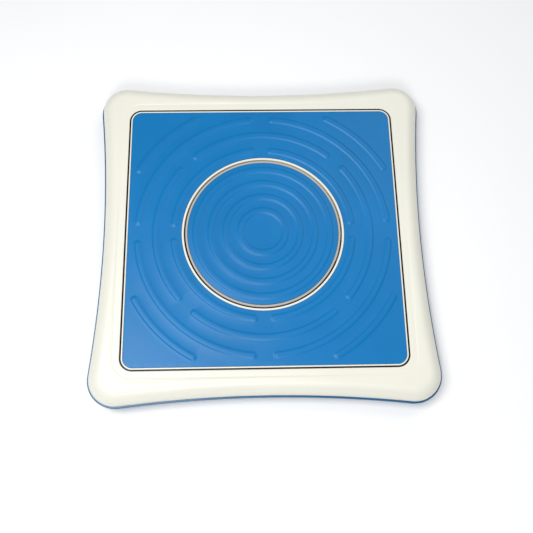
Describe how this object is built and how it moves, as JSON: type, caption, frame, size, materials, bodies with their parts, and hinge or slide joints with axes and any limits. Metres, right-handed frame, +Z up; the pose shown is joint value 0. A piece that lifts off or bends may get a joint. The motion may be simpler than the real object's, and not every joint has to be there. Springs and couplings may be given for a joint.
{
  "type": "pottery wheel",
  "caption": "Low table-top pottery wheel: square cream and blue body, lift-out deck and flush belt-driven turning head, both covered in ribbed blue rubber.",
  "frame": {"origin": "on the surface the feet stand on, under the wheel's axis", "axes": "+Z up along the wheel's axis, -Y towards the side with the dial and switch, +X to the right"},
  "size_m": [0.4046, 0.4046, 0.042],
  "materials": {
    "cream_plastic": "satin moulded plastic",
    "beige_plastic": "satin moulded plastic",
    "blue_plastic": "satin moulded plastic",
    "blue_rubber": "fine-textured matt rubber",
    "dark_rubber": "matt",
    "bright_steel": "bright",
    "cast_zinc": "as cast",
    "brass": "bright",
    "natural_nylon": "natural",
    "black_plastic": "matt",
    "board_green": "solder mask",
    "cell_jacket": "plain printed jacket",
    "wire_red": "satin"
  },
  "bodies": {
    "body": {"base_shell": "blue_plastic", "top_surround": "cream_plastic", "bearing_housing": "cast_zinc", "lower_outer_race": "bright_steel", "upper_outer_race": "bright_steel", "drive_belt": "dark_rubber", "motor_can": "bright_steel", "motor_bracket": "bright_steel", "battery_box": "black_plastic", "contact_strip_outer": "brass", "contact_strip_inner": "brass", "battery_door": "blue_plastic", "control_board": "board_green", "potentiometer": "black_plastic", "switch_housing": "black_plastic", "battery_lead": "wire_red", "motor_lead": "wire_red", "housing_screw_1": "bright_steel", "housing_screw_2": "bright_steel", "housing_screw_3": "bright_steel", "bracket_screw_1": "bright_steel", "door_screw_1": "bright_steel", "bracket_screw_2": "bright_steel", "door_screw_2": "bright_steel", "battery_cell_1": "cell_jacket", "foot_1": "dark_rubber", "battery_cell_2": "cell_jacket", "foot_2": "dark_rubber", "battery_cell_3": "cell_jacket", "foot_3": "dark_rubber", "battery_cell_4": "cell_jacket", "foot_4": "dark_rubber", "case_screw_1": "bright_steel", "case_screw_2": "bright_steel", "case_screw_3": "bright_steel", "case_screw_4": "bright_steel", "case_screw_5": "bright_steel", "case_screw_6": "bright_steel", "case_screw_7": "bright_steel", "case_screw_8": "bright_steel"},
    "wheel": {"wheel_head": "beige_plastic", "wheel_mat": "blue_rubber", "wheel_screw_1": "bright_steel", "wheel_screw_2": "bright_steel", "wheel_screw_3": "bright_steel", "spindle": "bright_steel", "thrust_washer": "brass", "spindle_clip": "bright_steel", "hub_nut": "bright_steel", "drive_pulley": "natural_nylon", "lower_inner_race": "bright_steel", "upper_inner_race": "bright_steel"},
    "deck": {"deck_tray": "cream_plastic", "deck_mat": "blue_rubber"},
    "motor_rotor": {"motor_shaft": "bright_steel", "motor_pulley": "brass"},
    "lower_balls": {"lower_ball_cage": "brass"},
    "upper_balls": {"upper_ball_cage": "brass"},
    "dial": {"speed_dial": "dark_rubber"},
    "switch_knob": {"power_switch": "dark_rubber"}
  },
  "joints": [
    {"name": "wheel_spin", "type": "hinge", "parent": "body", "child": "wheel", "pos_m": [0, 0, 0.035], "axis": [0, 0, 1], "continuous": true},
    {"name": "motor_spin", "type": "hinge", "parent": "body", "child": "motor_rotor", "pos_m": [0.094, 0, 0.026], "axis": [0, 0, 1], "continuous": true},
    {"name": "lower_cage_spin", "type": "hinge", "parent": "body", "child": "lower_balls", "pos_m": [0, 0, 0.0117], "axis": [0, 0, 1], "continuous": true},
    {"name": "upper_cage_spin", "type": "hinge", "parent": "body", "child": "upper_balls", "pos_m": [0, 0, 0.023], "axis": [0, 0, 1], "continuous": true},
    {"name": "deck_lift", "type": "slide", "parent": "body", "child": "deck", "axis": [0, 0, 1], "range_m": [0, 0.05]},
    {"name": "dial_turn", "type": "hinge", "parent": "body", "child": "dial", "pos_m": [0.062, -0.16463, 0.0103], "axis": [0, 0, 1], "range_deg": [0, 270]},
    {"name": "switch_slide", "type": "slide", "parent": "body", "child": "switch_knob", "axis": [1, 0, 0], "range_m": [0, 0.004]}
  ],
  "couplings": [
    {"joint": "motor_spin", "follows": "wheel_spin", "ratio": 11},
    {"joint": "lower_cage_spin", "follows": "wheel_spin", "ratio": 0.38},
    {"joint": "upper_cage_spin", "follows": "wheel_spin", "ratio": 0.38}
  ]
}
